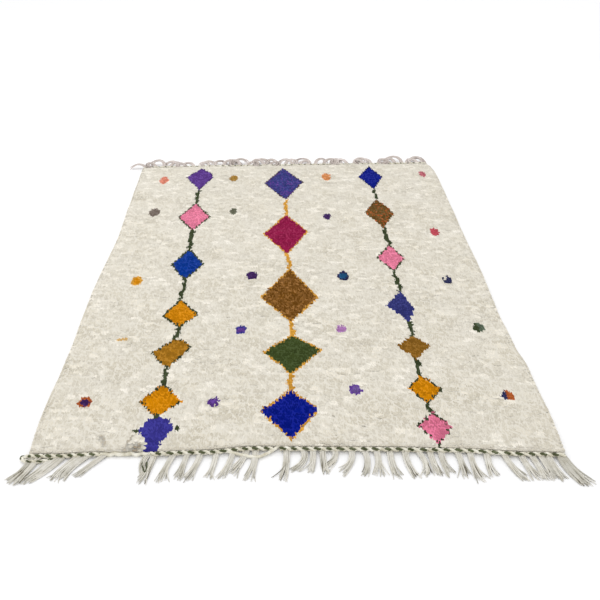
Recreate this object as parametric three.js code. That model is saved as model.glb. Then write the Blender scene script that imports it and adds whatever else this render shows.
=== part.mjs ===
// A knotted wool rug laid out flat: a thick shaggy pile cloth, a twined cord along each end,
// and the warp ends gathered into cotton tassels beyond the cords.
// Millimetres. +X runs across the rug, +Y runs from its near end to its far end, +Z is up.
import * as THREE from 'three';
import { mergeVertices } from 'three/addons/utils/BufferGeometryUtils.js';

// Driving dimensions
const FIELD_WIDTH = 1500;
const FIELD_LENGTH = 2000;
const PILE_HEIGHT = 19;
const RIM_HEIGHT = 14;
const PILE_LUMP = 4;
const LUMP_WAVE = { across: 61, along: 53, sway: 97, drift: 140 };
const RIPPLE_WAVE = { along: 29, drift: 71 };
const SIDE_LOCKS = 40;
const LOCK_LENGTH = 11;
const LOCK_LEAST = 0.6;
const LOCK_HEIGHT = 7;
const UNDERCUT = 3;
const FIELD_COLUMNS = 20;
const RIM_COLUMN = 14;
const CLEARANCE = 0.3;
const CORD_STANDOFF = 0.9;

const CORD_RADIUS = 6.2;
const CORD_LOBE = 1.3;
const CORD_SIDES = 6;
const CORD_END_TAPER = 0.6;
const TWIST_PITCH = 33;
const STEPS_PER_TWIST = 5;

// The cords: along which end of the cloth each lies, and from where to where
const CORDS = [
  { name: 'heading_near_left', end: 'near', from: -752, to: -52 },
  { name: 'heading_near_right', end: 'near', from: -36, to: 754 },
  { name: 'heading_far', end: 'far', from: -748, to: 712 },
];

const STRIP_WIDTH = 15;
const STRIP_HEIGHT = 4;
const STRAND_WIDTH = 4.6;
const STRAND_HEIGHT = 3.4;
const STRAND_TIP_WIDTH = 3;
const STRAND_TIP_HEIGHT = 2;
const OUTER_STRAND_LOSS = 0.05;
const BARE_EDGE = 8;
const NEAR_TASSEL = { strands: 3, bends: 3 };
const FAR_TASSEL = { strands: 3, bends: 2 };
const TASSEL_ROOT_SPREAD = 6.2;
const TASSEL_TIP_SPREAD = 9;
const TASSEL_TIP_GAP = 3.2;

// How far each edge stands out from the true rectangle, measured along that edge
const LEFT_EDGE = [
  { at: -1000, out: 0 }, { at: -850, out: 7 }, { at: -560, out: 0 }, { at: -190, out: 4 },
  { at: 290, out: -12 }, { at: 520, out: -6 }, { at: 1000, out: 0 },
];
const RIGHT_EDGE = [
  { at: -1000, out: 5 }, { at: -860, out: 10 }, { at: -620, out: 8 }, { at: -520, out: -3 },
  { at: -340, out: -9 }, { at: -20, out: -3 }, { at: 250, out: -8 }, { at: 780, out: -9 },
  { at: 900, out: -12 }, { at: 960, out: -20 }, { at: 1000, out: -36 },
];
const NEAR_EDGE = [
  { at: -750, out: 0 }, { at: -680, out: 0 }, { at: -540, out: -8 }, { at: -430, out: -9 },
  { at: -260, out: -16 }, { at: -110, out: -32 }, { at: 230, out: -31 }, { at: 440, out: -28 },
  { at: 660, out: -14 }, { at: 750, out: -12 },
];
const FAR_EDGE = [
  { at: -750, out: 0 }, { at: -300, out: 5 }, { at: 200, out: 8 }, { at: 750, out: 10 },
];

// The pushed-up fold beside the place where some near tassels are tucked under
const PUCKER = { x: -458, y: -955, radius: 70, rise: 13 };

// Near tassels: where each leaves the cord, how far its tip leans to the right,
// and how far the tip lies beyond the cloth
const NEAR_TASSELS = [
  { root: -741, lean: -44, reach: 102 }, { root: -722, lean: -38, reach: 109 },
  { root: -680, lean: -60, reach: 107 }, { root: -652, lean: -44, reach: 98 },
  { root: -607, lean: -65, reach: 93 }, { root: -581, lean: -51, reach: 98 },
  { root: -535, lean: -70, reach: 88 }, { root: -409, lean: -12, reach: 110 },
  { root: -385, lean: -9, reach: 74 }, { root: -337, lean: -24, reach: 113 },
  { root: -300, lean: -8, reach: 110 }, { root: -262, lean: -24, reach: 116 },
  { root: -218, lean: -16, reach: 106 }, { root: -170, lean: -30, reach: 118 },
  { root: -130, lean: -42, reach: 98 }, { root: -106, lean: -24, reach: 128 },
  { root: -18, lean: -17, reach: 124 }, { root: 28, lean: -38, reach: 94 },
  { root: 56, lean: -20, reach: 100 }, { root: 84, lean: -22, reach: 94 },
  { root: 117, lean: -30, reach: 80 }, { root: 165, lean: -40, reach: 98 },
  { root: 201, lean: -18, reach: 108 }, { root: 236, lean: -13, reach: 108 },
  { root: 275, lean: 0, reach: 118 }, { root: 318, lean: 17, reach: 114 },
  { root: 352, lean: 11, reach: 98 }, { root: 385, lean: 8, reach: 104 },
  { root: 417, lean: 8, reach: 106 }, { root: 462, lean: -6, reach: 112 },
  { root: 497, lean: -4, reach: 120 }, { root: 543, lean: -9, reach: 96 },
  { root: 588, lean: 22, reach: 100 }, { root: 636, lean: 7, reach: 99 },
  { root: 664, lean: 6, reach: 98 }, { root: 688, lean: 5, reach: 94 },
  { root: 709, lean: 7, reach: 96 }, { root: 745, lean: 28, reach: 112 },
];

// Far tassels, evenly set, each flopped over by its own amount
const FAR_TASSELS = 37;
const FAR_MARGIN = { left: 22, right: 38 };
const FAR_REACH = 92;
const FAR_REACH_SPAN = 22;
const FAR_LEAN_SPAN = 12;
const FAR_SEED = 11;
const PILE_SEED = 5;
const LOCK_SEED = 23;

// A repeatable stream of values from 0 to 1
function draws(seed) {
  let state = seed;
  return () => {
    state = (state * 16807) % 2147483647;
    return state / 2147483647;
  };
}

// The value of a table of edge rows at one place, eased between rows
function outAt(table, at) {
  const last = table.length - 1;
  if (at <= table[0].at) return table[0].out;
  if (at >= table[last].at) return table[last].out;
  const next = table.findIndex((row) => row.at > at);
  const before = table[next - 1];
  const after = table[next];
  const share = THREE.MathUtils.smoothstep(at, before.at, after.at);
  return THREE.MathUtils.lerp(before.out, after.out, share);
}

// Column places across the cloth, with one narrow column inside each side
function columnPlaces() {
  const inner = FIELD_WIDTH - 2 * RIM_COLUMN;
  const places = [0];
  for (let i = 0; i <= FIELD_COLUMNS; i++) {
    places.push(RIM_COLUMN + (inner * i) / FIELD_COLUMNS);
  }
  places.push(FIELD_WIDTH);
  return places.map((place) => place / FIELD_WIDTH);
}

// Row places along the cloth, two to each side lock
function rowPlaces() {
  const rows = 2 * SIDE_LOCKS;
  return Array.from({ length: rows + 1 }, (_, j) => j / rows);
}

// Where a point of the true rectangle lies once the edges wander
function settled(across, along) {
  const x = (across - 0.5) * FIELD_WIDTH;
  const y = (along - 0.5) * FIELD_LENGTH;
  const sideways = THREE.MathUtils.lerp(-outAt(LEFT_EDGE, y), outAt(RIGHT_EDGE, y), across);
  const lengthways = THREE.MathUtils.lerp(-outAt(NEAR_EDGE, x), outAt(FAR_EDGE, x), along);
  return new THREE.Vector2(x + sideways, y + lengthways);
}

// Soft lumps where the pile has matted, and the pucker near the tucked tassels
function pileTop(x, y, wander) {
  const sway = x / LUMP_WAVE.across + 1.3 * Math.sin(y / LUMP_WAVE.sway);
  const lumps = Math.sin(sway) * Math.cos(y / LUMP_WAVE.along - x / LUMP_WAVE.drift);
  const ripple = Math.sin(y / RIPPLE_WAVE.along + x / RIPPLE_WAVE.drift);
  const away = Math.hypot(x - PUCKER.x, y - PUCKER.y) / PUCKER.radius;
  const fold = away < 1 ? PUCKER.rise * (1 - away * away) ** 2 : 0;
  return PILE_HEIGHT + PILE_LUMP * (0.5 * lumps + 0.3 * ripple + 0.5 * (wander - 0.5)) + fold;
}

// A geometry from points and faces that share them
function geometryOf(points, faces) {
  const geometry = new THREE.BufferGeometry();
  const numbers = points.flatMap((p) => [p.x, p.y, p.z]);
  geometry.setAttribute('position', new THREE.Float32BufferAttribute(numbers, 3));
  geometry.setIndex(faces);
  geometry.computeVertexNormals();
  return geometry;
}

// Joins two rings of the same number of points with a wall of triangles
function wall(faces, lower, upper, count) {
  for (let i = 0; i < count; i++) {
    const next = (i + 1) % count;
    faces.push(lower + i, lower + next, upper + next);
    faces.push(lower + i, upper + next, upper + i);
  }
}

// Covers the flat band between a nearer and a farther row of points, each from left to
// right, with triangles that face up or down
function band(faces, points, near, far, upward) {
  let n = 0;
  let f = 0;
  while (n < near.length - 1 || f < far.length - 1) {
    const nearNext = n < near.length - 1 ? points[near[n + 1]].x : Infinity;
    const farNext = f < far.length - 1 ? points[far[f + 1]].x : Infinity;
    const onNear = nearNext <= farNext;
    const corner = onNear ? near[n + 1] : far[f + 1];
    if (upward) faces.push(near[n], corner, far[f]);
    else faces.push(near[n], far[f], corner);
    if (onNear) n += 1;
    else f += 1;
  }
}

// The pile cloth: a lumpy slab, flat below, with a row of wool locks down each side
function pileField() {
  const columns = columnPlaces();
  const rows = rowPlaces();
  const wide = columns.length;
  const lastColumn = wide - 1;
  const lastRow = rows.length - 1;
  const wander = draws(PILE_SEED);
  const points = [];
  for (let j = 0; j <= lastRow; j++) {
    for (let i = 0; i <= lastColumn; i++) {
      const at = settled(columns[i], rows[j]);
      const onRim = i === 0 || j === 0 || i === lastColumn || j === lastRow;
      const top = pileTop(at.x, at.y, wander());
      points.push(new THREE.Vector3(at.x, at.y, onRim ? Math.min(top, RIM_HEIGHT) : top));
    }
  }
  const faces = [];
  for (let j = 0; j < lastRow; j++) {
    for (let i = 0; i < lastColumn; i++) {
      const corner = j * wide + i;
      faces.push(corner, corner + 1, corner + wide + 1);
      faces.push(corner, corner + wide + 1, corner + wide);
    }
  }
  const rim = [];
  for (let i = 0; i < lastColumn; i++) rim.push({ i, j: 0 });
  for (let j = 0; j < lastRow; j++) rim.push({ i: lastColumn, j });
  for (let i = lastColumn; i > 0; i--) rim.push({ i, j: lastRow });
  for (let j = lastRow; j > 0; j--) rim.push({ i: 0, j });

  const lockLength = draws(LOCK_SEED);
  const topRing = points.length;
  rim.forEach(({ i, j }) => points.push(points[j * wide + i].clone()));
  const lockRing = points.length;
  rim.forEach(({ i, j }) => {
    const outward = i === 0 ? -1 : i === lastColumn ? 1 : 0;
    const share = THREE.MathUtils.lerp(LOCK_LEAST, 1, lockLength());
    const length = j % 2 === 1 ? LOCK_LENGTH * share : 0;
    const at = points[j * wide + i];
    points.push(new THREE.Vector3(at.x + outward * length, at.y, LOCK_HEIGHT));
  });
  const soleRing = points.length;
  const middle = new THREE.Vector2();
  rim.forEach(({ i, j }) => {
    const at = points[j * wide + i];
    middle.set(at.x, at.y);
    const inward = middle.clone().multiplyScalar(-1).normalize().multiplyScalar(UNDERCUT);
    points.push(new THREE.Vector3(at.x + inward.x, at.y + inward.y, 0));
  });
  wall(faces, soleRing, lockRing, rim.length);
  wall(faces, lockRing, topRing, rim.length);
  const soleRow = (j) => {
    const row = rim.flatMap((place, n) => (place.j === j ? [{ i: place.i, n }] : []));
    return row.sort((a, b) => a.i - b.i).map((place) => soleRing + place.n);
  };
  for (let j = 0; j < lastRow; j++) band(faces, points, soleRow(j), soleRow(j + 1), false);
  return mergeVertices(geometryOf(points, faces));
}

// The rim points of one end of the cloth, from left to right
function endRim(along) {
  return columnPlaces().map((across) => settled(across, along));
}

// The y of that rim at any x, carried straight on past its corners
function rimAt(rim, x) {
  const last = rim.length - 1;
  if (x <= rim[0].x) return rim[0].y;
  if (x >= rim[last].x) return rim[last].y;
  const next = rim.findIndex((p) => p.x > x);
  const share = (x - rim[next - 1].x) / (rim[next].x - rim[next - 1].x);
  return THREE.MathUtils.lerp(rim[next - 1].y, rim[next].y, share);
}

// A cord of two yarns twined together: a section with two lobes that turns along its route
function twinedCord(route) {
  const curve = new THREE.CatmullRomCurve3(route, false, 'centripetal');
  const length = curve.getLength();
  const steps = Math.round((length / TWIST_PITCH) * STEPS_PER_TWIST);
  const points = [];
  for (let k = 0; k <= steps; k++) {
    const centre = curve.getPointAt(k / steps);
    const along = curve.getTangentAt(k / steps).setZ(0).normalize();
    const side = new THREE.Vector3(along.y, -along.x, 0);
    const turn = (2 * Math.PI * k) / STEPS_PER_TWIST / 2;
    const end = k === 0 || k === steps ? CORD_END_TAPER : 1;
    for (let s = 0; s < CORD_SIDES; s++) {
      const angle = (2 * Math.PI * s) / CORD_SIDES;
      const radius = end * (CORD_RADIUS + CORD_LOBE * Math.cos(2 * (angle - turn)));
      const out = side.clone().multiplyScalar(Math.cos(angle) * radius);
      points.push(centre.clone().add(out).setZ(centre.z + Math.sin(angle) * radius));
    }
  }
  const faces = [];
  for (let k = 0; k < steps; k++) {
    wall(faces, (k + 1) * CORD_SIDES, k * CORD_SIDES, CORD_SIDES);
  }
  for (let s = 1; s < CORD_SIDES - 1; s++) {
    faces.push(0, s, s + 1);
    faces.push(steps * CORD_SIDES, steps * CORD_SIDES + s + 1, steps * CORD_SIDES + s);
  }
  return geometryOf(points, faces);
}

// A route beside one end of the cloth, out by a cord's half width, where a six-sided cord
// comes to rest just above the strip of warps
function besideRim(rim, outward, fromX, toX) {
  const widest = CORD_RADIUS + CORD_LOBE;
  const lowest = widest * Math.sin(Math.PI / 3);
  const between = rim.map((p) => p.x).filter((x) => x > fromX + RIM_COLUMN && x < toX - RIM_COLUMN);
  return [fromX, ...between, toX].map((x) => {
    const y = rimAt(rim, x) + outward * (widest + CORD_STANDOFF);
    return new THREE.Vector3(x, y, STRIP_HEIGHT + CLEARANCE + lowest);
  });
}

// Where each strand leaves the strip and where its tip lies, from left to right
function strandsOf(tassels, count) {
  const tips = tassels.map((tassel) => tassel.root + tassel.lean);
  return tassels.flatMap((tassel, n) => {
    const nearest = Math.min(
      n > 0 ? tips[n] - tips[n - 1] : Infinity,
      n < tips.length - 1 ? tips[n + 1] - tips[n] : Infinity,
    );
    const spread = Math.min(TASSEL_TIP_SPREAD, nearest / 2 - TASSEL_TIP_GAP);
    return Array.from({ length: count }, (_, s) => {
      const place = s - (count - 1) / 2;
      return {
        root: tassel.root + TASSEL_ROOT_SPREAD * place,
        tip: tips[n] + spread * place,
        reach: tassel.reach * (1 - OUTER_STRAND_LOSS * Math.abs(place)),
      };
    });
  });
}

// A fringe: a narrow strip of warps under the cord, with every strand growing out of its
// outer face as a flat-based ridge that rests level on the floor and tapers to its tip
function fringe(rim, outward, tassels, { strands, bends }) {
  const points = [];
  const faces = [];
  const add = (x, y, z) => points.push(new THREE.Vector3(x, y, z)) - 1;
  const inner = rim.map((p) => ({
    low: add(p.x, p.y + outward * CLEARANCE, 0),
    high: add(p.x, p.y + outward * CLEARANCE, STRIP_HEIGHT),
  }));
  const outerY = (x) => rimAt(rim, x) + outward * (CLEARANCE + STRIP_WIDTH);
  const lines = strandsOf(tassels, strands);
  const bare = rim.filter((p) => lines.every((line) => Math.abs(line.root - p.x) > BARE_EDGE));
  const stops = [...bare.map((p) => ({ x: p.x })), ...lines.map((line) => ({ x: line.root, line }))];
  stops.sort((a, b) => a.x - b.x);

  const outer = [];
  stops.forEach(({ x, line }) => {
    if (!line) {
      outer.push({ low: add(x, outerY(x), 0), high: add(x, outerY(x), STRIP_HEIGHT) });
      return;
    }
    const half = STRAND_WIDTH / 2;
    const left = add(x - half, outerY(x - half), 0);
    const right = add(x + half, outerY(x + half), 0);
    const ridge = add(x, outerY(x), STRAND_HEIGHT);
    const leftTop = add(x - half, outerY(x - half), STRIP_HEIGHT);
    const rightTop = add(x + half, outerY(x + half), STRIP_HEIGHT);
    outer.push({ low: left, high: leftTop }, { low: right, high: rightTop, ridge });
    faces.push(left, ridge, leftTop, leftTop, ridge, rightTop, ridge, right, rightTop);
    let ring = left;
    for (let k = 1; k <= bends; k++) {
      const share = k / bends;
      const bow = THREE.MathUtils.smoothstep(share, 0, 1);
      const middle = THREE.MathUtils.lerp(line.root, line.tip, bow);
      const out = THREE.MathUtils.lerp(CLEARANCE + STRIP_WIDTH, line.reach, share);
      const y = rimAt(rim, line.root) + outward * out;
      const across = THREE.MathUtils.lerp(STRAND_WIDTH, STRAND_TIP_WIDTH, share) / 2;
      const next = add(middle - across, y, 0);
      add(middle + across, y, 0);
      add(middle, y, THREE.MathUtils.lerp(STRAND_HEIGHT, STRAND_TIP_HEIGHT, share));
      wall(faces, ring, next, 3);
      ring = next;
    }
    faces.push(ring, ring + 1, ring + 2);
  });
  for (let n = 1; n < outer.length; n++) {
    const before = outer[n - 1];
    const after = outer[n];
    if (after.ridge !== undefined) continue;
    faces.push(before.low, after.low, after.high, before.low, after.high, before.high);
  }
  for (let n = 1; n < inner.length; n++) {
    const before = inner[n - 1];
    const after = inner[n];
    faces.push(before.low, before.high, after.high, before.low, after.high, after.low);
  }
  const [first, last] = [inner[0], inner[inner.length - 1]];
  const [start, end] = [outer[0], outer[outer.length - 1]];
  faces.push(first.low, start.low, start.high, first.low, start.high, first.high);
  faces.push(last.low, end.high, end.low, last.low, last.high, end.high);
  if (outward > 0) faces.reverse();
  const [near, far] = outward > 0 ? [inner, outer] : [outer, inner];
  band(faces, points, near.map((stop) => stop.low), far.map((stop) => stop.low), false);
  band(faces, points, near.map((stop) => stop.high), far.map((stop) => stop.high), true);
  return geometryOf(points, faces);
}

function farTassels() {
  const flop = draws(FAR_SEED);
  const pitch = (FIELD_WIDTH - FAR_MARGIN.left - FAR_MARGIN.right) / (FAR_TASSELS - 1);
  return Array.from({ length: FAR_TASSELS }, (_, n) => ({
    root: -FIELD_WIDTH / 2 + FAR_MARGIN.left + n * pitch,
    lean: FAR_LEAN_SPAN * (2 * flop() - 1),
    reach: FAR_REACH + FAR_REACH_SPAN * (flop() - 0.5),
  }));
}

const wool = new THREE.MeshStandardMaterial({ color: 0xe8e2d2, roughness: 0.95, metalness: 0 });
const cottonCord = new THREE.MeshStandardMaterial({ color: 0xcfcab4, roughness: 0.9, metalness: 0 });
const cottonWarp = new THREE.MeshStandardMaterial({ color: 0xdedcd2, roughness: 0.9, metalness: 0 });

const rug = new THREE.Group();

function addPiece(name, geometry, material) {
  const piece = new THREE.Mesh(geometry, material);
  piece.name = name;
  rug.add(piece);
}

const nearRim = endRim(0);
const farRim = endRim(1);

addPiece('pile_field', pileField(), wool);
CORDS.forEach(({ name, end, from, to }) => {
  const route = end === 'near' ? besideRim(nearRim, -1, from, to) : besideRim(farRim, 1, from, to);
  addPiece(name, twinedCord(route), cottonCord);
});
addPiece('fringe_near', fringe(nearRim, -1, NEAR_TASSELS, NEAR_TASSEL), cottonWarp);
addPiece('fringe_far', fringe(farRim, 1, farTassels(), FAR_TASSEL), cottonWarp);

// The origin is on the floor under the middle of the whole rug
const reach = new THREE.Box3().setFromObject(rug);
const centre = reach.getCenter(new THREE.Vector3());
rug.position.set(-centre.x, -centre.y, -reach.min.z);

export default rug;
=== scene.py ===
# %% [markdown]
# # A shaggy knotted rug, lock by lock
# The rug lies flat on a pale floor. It is a cloth of warps and wefts with rows of wool knots,
# a twined cord along each short end, and the warp ends gathered into cotton tassels.
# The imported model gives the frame, so the first step is to load it.

# %% Load the frame
import math

import bpy
import numpy as np
from mathutils import Matrix


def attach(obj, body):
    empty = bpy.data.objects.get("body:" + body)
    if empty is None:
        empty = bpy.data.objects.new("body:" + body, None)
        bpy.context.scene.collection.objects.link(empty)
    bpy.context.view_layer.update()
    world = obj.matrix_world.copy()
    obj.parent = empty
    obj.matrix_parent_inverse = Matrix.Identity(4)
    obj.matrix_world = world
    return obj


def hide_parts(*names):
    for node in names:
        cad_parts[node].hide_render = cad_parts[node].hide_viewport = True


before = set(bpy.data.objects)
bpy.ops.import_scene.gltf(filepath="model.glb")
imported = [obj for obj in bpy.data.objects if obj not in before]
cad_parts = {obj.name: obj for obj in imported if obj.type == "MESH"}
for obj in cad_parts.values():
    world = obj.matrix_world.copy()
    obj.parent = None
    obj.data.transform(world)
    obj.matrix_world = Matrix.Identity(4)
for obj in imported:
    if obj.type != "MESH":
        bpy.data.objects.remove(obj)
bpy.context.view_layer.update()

# %% [markdown]
# ## The camera
# The eye stands about a metre and a half up, beyond the near end of the rug, and looks down
# along it. The camera comes first because every later choice of detail is judged through it.
# Its place and turn were found from the four corners of the pile, and the small sideways
# shift is the photo's framing.

# %% Camera
RUG_MIDDLE = (0.0060, -0.0019)
EYE = (-0.0255, -2.3752, 1.4773)
LOOKS_DOWN = math.radians(34.283)
TURNED_LEFT = math.radians(2.772)
ROLLED = math.radians(-1.851)
LENS_MM = 41.79
SIDEWAYS_SHIFT = 0.0747

bpy.ops.object.select_all(action="DESELECT")
bpy.ops.object.camera_add()
camera = bpy.context.object
camera.name = "camera"
camera.data.lens = LENS_MM
camera.data.sensor_width = 36
camera.data.shift_x = SIDEWAYS_SHIFT
turned = Matrix.Rotation(TURNED_LEFT, 4, "Z")
tipped = Matrix.Rotation(math.pi / 2 - LOOKS_DOWN, 4, "X")
rolled = Matrix.Rotation(ROLLED, 4, "Z")
place = Matrix.Translation((EYE[0] + RUG_MIDDLE[0], EYE[1] + RUG_MIDDLE[1], EYE[2]))
camera.matrix_world = place @ turned @ tipped @ rolled
bpy.context.scene.camera = camera
bpy.context.scene.view_settings.view_transform = "Standard"
print("camera at", [round(value, 3) for value in camera.matrix_world.translation])

# %% [markdown]
# ## The floor and the light
# Wool looks soft when light reaches into it from all round, so a bright even sky does most
# of the work. One broad lamp high behind the left shoulder gives the tufts a lit side.

# %% Floor and light
FLOOR_SIZE = 60
SKY_STRENGTH = 1.05
LAMP = {"place": (-1.6, 1.2, 3.8), "size": 3.0, "power": 32}


def linear(colour):
    """A colour on the 0 to 255 scale, as the light values that Blender mixes."""
    share = np.array(colour, float) / 255
    return np.where(share <= 0.04045, share / 12.92, ((share + 0.055) / 1.055) ** 2.4)


def plain_material(name, colour, roughness):
    made = bpy.data.materials.new(name)
    made.use_nodes = True
    shader = made.node_tree.nodes["Principled BSDF"]
    shader.inputs["Base Color"].default_value = (*linear(colour), 1)
    shader.inputs["Roughness"].default_value = roughness
    return made


bpy.ops.mesh.primitive_plane_add(size=FLOOR_SIZE)
floor = bpy.context.object
floor.name = "floor"
floor.data.materials.append(plain_material("pale_floor", (247, 247, 248), 0.9))

sky = bpy.data.worlds.new("sky")
sky.use_nodes = True
sky.node_tree.nodes["Background"].inputs["Color"].default_value = (1, 1, 1, 1)
sky.node_tree.nodes["Background"].inputs["Strength"].default_value = SKY_STRENGTH
bpy.context.scene.world = sky

bpy.ops.object.light_add(type="AREA", location=LAMP["place"])
lamp = bpy.context.object
lamp.name = "soft_lamp"
lamp.data.size = LAMP["size"]
lamp.data.energy = LAMP["power"]
to_middle = -lamp.location
lamp.rotation_euler = to_middle.to_track_quat("-Z", "Y").to_euler()
print("sky", SKY_STRENGTH, "lamp", LAMP["power"])

# %% [markdown]
# ## The rug's outline
# The loom makes a rectangle, and use pulls it out of true: the sides swell and draw in by
# a centimetre, and one far corner is rounded. All lengths below are in millimetres from
# the middle of that rectangle. Each table gives how far an edge stands out at a place
# along it, and the cloth between the edges follows them evenly.

# %% Outline
MM = 0.001
FIELD_WIDTH = 1500
FIELD_LENGTH = 2000
LEFT_EDGE = [(-1000, 0), (-850, 7), (-560, 0), (-190, 4), (290, -12), (520, -6), (1000, 0)]
RIGHT_EDGE = [
    (-1000, 5), (-860, 10), (-620, 8), (-520, -3), (-340, -9), (-20, -3),
    (250, -8), (780, -9), (900, -12), (960, -20), (1000, -36),
]
NEAR_EDGE = [
    (-750, 0), (-680, 0), (-540, -8), (-430, -9), (-260, -16),
    (-110, -32), (230, -31), (440, -28), (660, -14), (750, -12),
]
FAR_EDGE = [(-750, 0), (-300, 5), (200, 8), (750, 10)]


def eased(table, at):
    """The table's value at each place, with a soft turn at each row."""
    places, values = np.array(table, float).T
    at = np.clip(at, places[0], places[-1])
    row = np.clip(np.searchsorted(places, at, side="right") - 1, 0, len(places) - 2)
    share = (at - places[row]) / (places[row + 1] - places[row])
    share = share * share * (3 - 2 * share)
    return values[row] + (values[row + 1] - values[row]) * share


def settled(across, along):
    """Where a point of the loom's rectangle lies now; across and along run from 0 to 1."""
    x = (across - 0.5) * FIELD_WIDTH
    y = (along - 0.5) * FIELD_LENGTH
    sideways = across * eased(RIGHT_EDGE, y) - (1 - across) * eased(LEFT_EDGE, y)
    lengthways = along * eased(FAR_EDGE, x) - (1 - along) * eased(NEAR_EDGE, x)
    return x + sideways, y + lengthways


def in_frame(points):
    """Millimetres from the rug's middle, as metres in the frame."""
    return np.asarray(points) * MM + (RUG_MIDDLE[0], RUG_MIDDLE[1], 0)


rim_x, rim_y = settled(np.linspace(0, 1, 301), np.zeros(301))
far_rim_x, far_rim_y = settled(np.linspace(0, 1, 301), np.ones(301))
print("near edge from y", round(rim_y.min()), "to", round(rim_y.max()), "mm")

# %% [markdown]
# ## The knots
# The weaver ties a row of knots, beats a few wefts down on it and ties the next row. The
# rows stay nearly even, with each knot a millimetre or two out of place.

# %% Knot grid
KNOTS_ACROSS = 144
KNOT_ROWS = 176
ROOT_WANDER = 1.6
draw = np.random.default_rng(7)

column, row = np.meshgrid(np.arange(KNOTS_ACROSS), np.arange(KNOT_ROWS))
column = column.ravel()
row = row.ravel()
knots = column.size
knot_x, knot_y = settled((column + 0.5) / KNOTS_ACROSS, (row + 0.5) / KNOT_ROWS)
knot_x = knot_x + draw.normal(0, ROOT_WANDER, knots).clip(-3, 3)
knot_y = knot_y + draw.normal(0, ROOT_WANDER, knots).clip(-3, 3)
print(knots, "knots,", KNOTS_ACROSS, "across and", KNOT_ROWS, "rows")

# %% [markdown]
# ## The weaver's chart
# The yarn changes where a figure begins, so the chart is a question asked of every place
# on the rug: which dye shows here? The figures are three chains of lozenges with their
# outlines and links, and small dots between them. First come the dyes, as the eye sees them.

# %% Dyes
DYES = {
    "cream": (218, 213, 201),
    "purple": (98, 62, 148),
    "deep purple": (62, 40, 96),
    "pink": (224, 120, 152),
    "light pink": (232, 129, 161),
    "dark indigo": (50, 54, 120),
    "dark ochre": (142, 100, 32),
    "light brown": (150, 104, 50),
    "pale amber": (226, 186, 124),
    "sea blue": (0, 54, 148),
    "royal blue": (0, 22, 136),
    "gold": (211, 136, 0),
    "ochre": (170, 118, 28),
    "brown": (112, 72, 18),
    "olive brown": (104, 77, 34),
    "magenta": (148, 24, 74),
    "leaf green": (62, 76, 36),
    "indigo": (56, 60, 130),
    "violet": (58, 54, 144),
    "bottle green": (62, 72, 46),
    "moss green": (58, 66, 44),
    "moss grey": (92, 106, 88),
    "amber": (214, 157, 60),
    "rust": (178, 92, 44),
    "maroon": (78, 54, 60),
    "night blue": (14, 20, 88),
    "salmon": (224, 138, 116),
    "olive gold": (168, 130, 60),
    "grey brown": (124, 112, 104),
    "grey green": (108, 110, 92),
    "orange": (224, 150, 96),
    "plum": (62, 34, 92),
    "mauve red": (190, 104, 116),
    "red": (196, 78, 92),
    "navy": (40, 44, 84),
    "teal": (32, 84, 128),
    "light mauve": (170, 120, 180),
    "dusk purple": (108, 84, 150),
}
dye_names = list(DYES)
dye_light = np.array([linear(colour) for colour in DYES.values()])
print(len(dye_names), "dyes")

# %% [markdown]
# A lozenge is a few corners, going round from its left tip by the bottom. Its outline is a
# knot wide and uneven, and the moss green ones have knots left out. Three of the yarns were
# dyed in uneven batches, so knots of a second tone are mixed in.

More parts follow.
